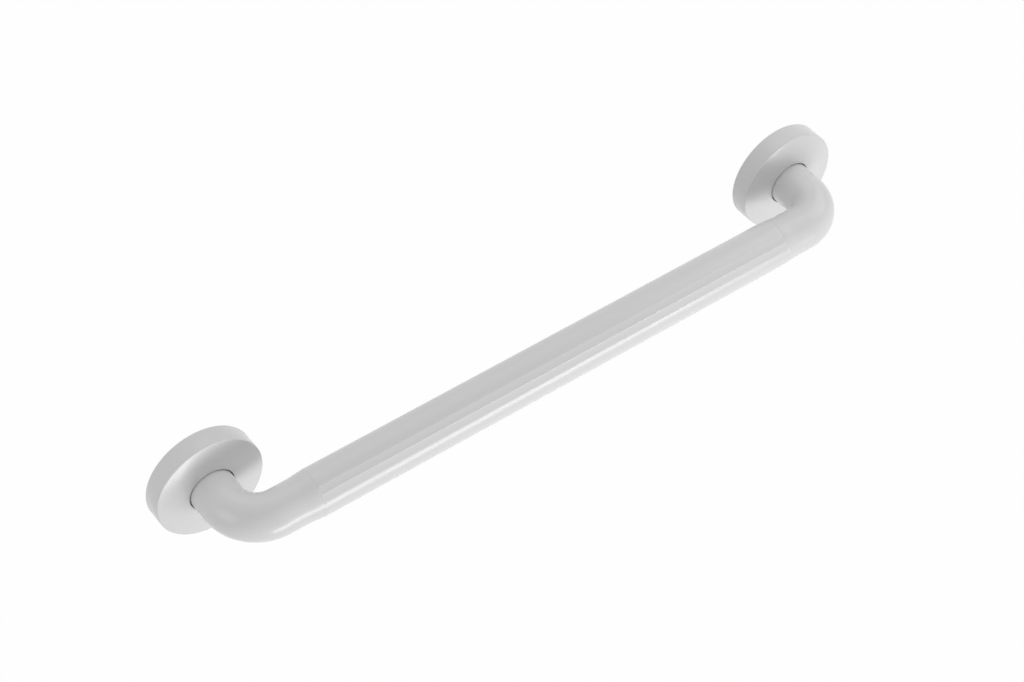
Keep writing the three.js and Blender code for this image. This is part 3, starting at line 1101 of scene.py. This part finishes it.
# %% Metals
ROUND_Y = (0.02, 1, 0.02)
tube_lines = {
    "group": tool_lines,
    "values": {"Stretch": ALONG_BAR, "Lines per metre": 1500},
    "depth": 0.004 * MM,
}
turned_lines = {
    "group": tool_lines,
    "values": {"Stretch": ROUND_Y, "Lines per metre": 5000},
    "depth": 0.002 * MM,
}
metals = {
    "core_aluminium": make_finish(
        "mill_aluminium",
        colour=(0.72, 0.73, 0.74),
        roughness=0.36,
        gloss_spread=0.15,
        tone_depth=0.08,
        relief=[tube_lines],
        metallic=1,
    ),
    "screw_steel": make_finish(
        "turned_steel",
        colour=(0.62, 0.63, 0.64),
        roughness=0.3,
        gloss_spread=0.12,
        tone_depth=0.06,
        relief=[turned_lines],
        metallic=1,
    ),
    "insert_brass": make_finish(
        "turned_brass",
        colour=(0.72, 0.56, 0.28),
        roughness=0.32,
        gloss_spread=0.12,
        tone_depth=0.08,
        relief=[turned_lines],
        metallic=1,
    ),
}

# %% [markdown]
# ## Camera
# The camera stands up and to the left in front of the bar, where the photograph was taken from, with a long lens.
# It could be set by eye through its own view. Here its place, aim, roll and lens were worked out from the bar's
# outline, because only then do both ends of the bar fall where the photograph shows them.

# %% Camera
SENSOR_WIDTH = 36
camera_place = Vector((-0.41456, -0.94526, 1.21408))
camera_aim = Vector((0.23878, -0.02649, 0.0))
camera_roll = math.radians(-0.606)
camera_lens = 83.19

camera_data = bpy.data.cameras.new("camera")
camera_data.lens = camera_lens
camera_data.sensor_width = SENSOR_WIDTH
camera = bpy.data.objects.new("camera", camera_data)
bpy.context.scene.collection.objects.link(camera)
look = (camera_aim - camera_place).to_track_quat("-Z", "Y").to_matrix().to_4x4()
camera.matrix_world = Matrix.Translation(camera_place) @ look @ Matrix.Rotation(camera_roll, 4, "Z")
bpy.context.scene.camera = camera
print(f"camera {(camera_aim - camera_place).length:.3f} m from the bar, lens {camera_lens} mm")

# %% [markdown]
# ## Stage
# The bar floats above a wide pale floor, as in a catalogue picture on white. The background has to be white while
# the light on the bar stays soft, and more light would only wash the bar out. Light Path tells the two apart: rays
# from the camera, and those that come by way of a gloss or through glass, see white, and the diffuse rays that
# light the bar see the studio's real level. The floor also shows a small share of its own shading, so that it
# keeps the bar's faint shadow.


# %% Helpers for what the eye sees
def seen_by_eye(tree):
    """1 for rays from the camera, a gloss or a glass, and 0 for diffuse light."""
    path = add_node(tree, "ShaderNodeLightPath")
    seen = path.outputs["Is Camera Ray"]
    for ray in ("Is Glossy Ray", "Is Transmission Ray"):
        seen = add_math(tree, "MAXIMUM", seen, path.outputs[ray])
    return seen


def ranged(tree, value, low, high):
    """A value from 0 to 1 moved to the range from low to high."""
    node = add_node(tree, "ShaderNodeMapRange")
    feed(tree, low, node.inputs["To Min"])
    feed(tree, high, node.inputs["To Max"])
    feed(tree, value, node.inputs["Value"])
    return node.outputs["Result"]


# %% Floor
FLOOR_DROP = 1.8
FLOOR_SIZE = 30
FLOOR_OWN_SHADE = 0.02
FLOOR_COLOUR = (0.9, 0.9, 0.9, 1)
WHITE = (1, 1, 1, 1)

bpy.ops.object.select_all(action="DESELECT")
bpy.ops.mesh.primitive_plane_add(size=FLOOR_SIZE, location=(bar_middle.x, 0, -FLOOR_DROP))
floor = bpy.context.object
bpy.ops.object.transform_apply(location=True, rotation=True, scale=True)
floor.name = "floor"

paper = bpy.data.materials.new("white_paper")
paper.use_nodes = True
tree = paper.node_tree
matte = tree.nodes["Principled BSDF"]
matte.inputs["Base Color"].default_value = FLOOR_COLOUR
matte.inputs["Roughness"].default_value = 1
glow = add_node(tree, "ShaderNodeEmission")
glow.inputs["Color"].default_value = WHITE
mix = add_node(tree, "ShaderNodeMixShader")
tree.links.new(ranged(tree, seen_by_eye(tree), 0, 1 - FLOOR_OWN_SHADE), mix.inputs["Fac"])
tree.links.new(matte.outputs["BSDF"], mix.inputs[1])
tree.links.new(glow.outputs["Emission"], mix.inputs[2])
tree.links.new(mix.outputs["Shader"], tree.nodes["Material Output"].inputs["Surface"])
floor.data.materials.append(paper)
print(f"floor {FLOOR_DROP} m below the bar")

# %% World
STUDIO_LEVEL = 0.46

world = bpy.data.worlds.new("studio")
bpy.context.scene.world = world
world.use_nodes = True
background = world.node_tree.nodes["Background"]
background.inputs["Color"].default_value = WHITE
level = ranged(world.node_tree, seen_by_eye(world.node_tree), STUDIO_LEVEL, 1)
world.node_tree.links.new(level, background.inputs["Strength"])
print(f"studio level {STUDIO_LEVEL}")

# %% [markdown]
# ## Lamps
# Four area lamps shape the bar, because only a wide source gives plastic its broad soft highlights. A long strip
# stands low in front, a little tilted. It makes the one bright line along the grip, which wanders from the front
# land at the left end up to the ridge at the right, and it throws the elbow's shadow on each cover. A large round
# lamp high on the right lights the tops. Two weak ones, on the left and behind, keep the far sides from going
# grey. Each is placed by its bearing from the bar: how far round from the front, how high, and how far off.

# %% Lamps
bar_centre = Vector((bar_middle.x, bar_y, 0))


def soft_lamp(name, turn, rise, distance, width, height, power, tilt=0):
    """An area lamp aimed at the middle of the bar: turn degrees round from the front towards +X, rise up."""
    turn = math.radians(turn)
    rise = math.radians(rise)
    bearing = Vector((math.sin(turn) * math.cos(rise), -math.cos(turn) * math.cos(rise), math.sin(rise)))
    data = bpy.data.lights.new(name, "AREA")
    data.shape = "ELLIPSE" if width == height else "RECTANGLE"
    data.size = width
    data.size_y = height
    data.energy = power
    lamp = bpy.data.objects.new(name, data)
    bpy.context.scene.collection.objects.link(lamp)
    facing = (-bearing).to_track_quat("-Z", "Y").to_matrix().to_4x4()
    tilted = Matrix.Rotation(math.radians(tilt), 4, "Z")
    lamp.matrix_world = Matrix.Translation(bar_centre + bearing * distance) @ facing @ tilted
    lamp.visible_camera = False
    print(f"{name}: {power} W, {distance} m off")


soft_lamp("front_strip", turn=8, rise=-24, distance=1.4, width=1.5, height=0.35, power=10.8, tilt=20)
soft_lamp("right_top", turn=90, rise=40, distance=1.8, width=1.4, height=1.4, power=7.7)
soft_lamp("left_fill", turn=-90, rise=20, distance=1.0, width=0.5, height=0.5, power=0.9)
soft_lamp("back_fill", turn=150, rise=60, distance=1.6, width=1.2, height=1.2, power=1.5)

# %% [markdown]
# ## Putting it together
# Every piece rides on the body that carries it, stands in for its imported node, and takes its material by its
# slot. The rail carries all but the two covers, which slide on the feet. One table says all of this, where it
# could have been said piece by piece, because a table shows at a glance that no node is left without a piece.

# %% Bodies, slots and what replaces what
pieces = [
    (sleeve, "rail", "fluted_grip_sleeve", "sleeve_plastic"),
    (core, "rail", "core_tube", "core_aluminium"),
    (left_elbow, "rail", "left_elbow", "elbow_plastic"),
    (right_elbow, "rail", "right_elbow", "elbow_plastic"),
    (left_plate, "rail", "left_base_plate", "plate_plastic"),
    (right_plate, "rail", "right_base_plate", "plate_plastic"),
    (left_cover, "left_cover", "left_cover", "cover_plastic"),
    (right_cover, "right_cover", "right_cover", "cover_plastic"),
]
pieces += [(piece, "rail", node, "screw_steel") for piece, node in screws]
pieces += [(piece, "rail", node, "insert_brass") for piece, node in inserts]
finishes = {**plastics, **metals}
for piece, body, node, slot in pieces:
    piece.data.materials.clear()
    piece.data.materials.append(finishes[slot])
    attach(piece, body)
    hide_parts(node)
print(f"{len(pieces)} pieces stand for {len(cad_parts)} nodes")

# %% Show colours as they are
bpy.context.scene.view_settings.view_transform = "Standard"
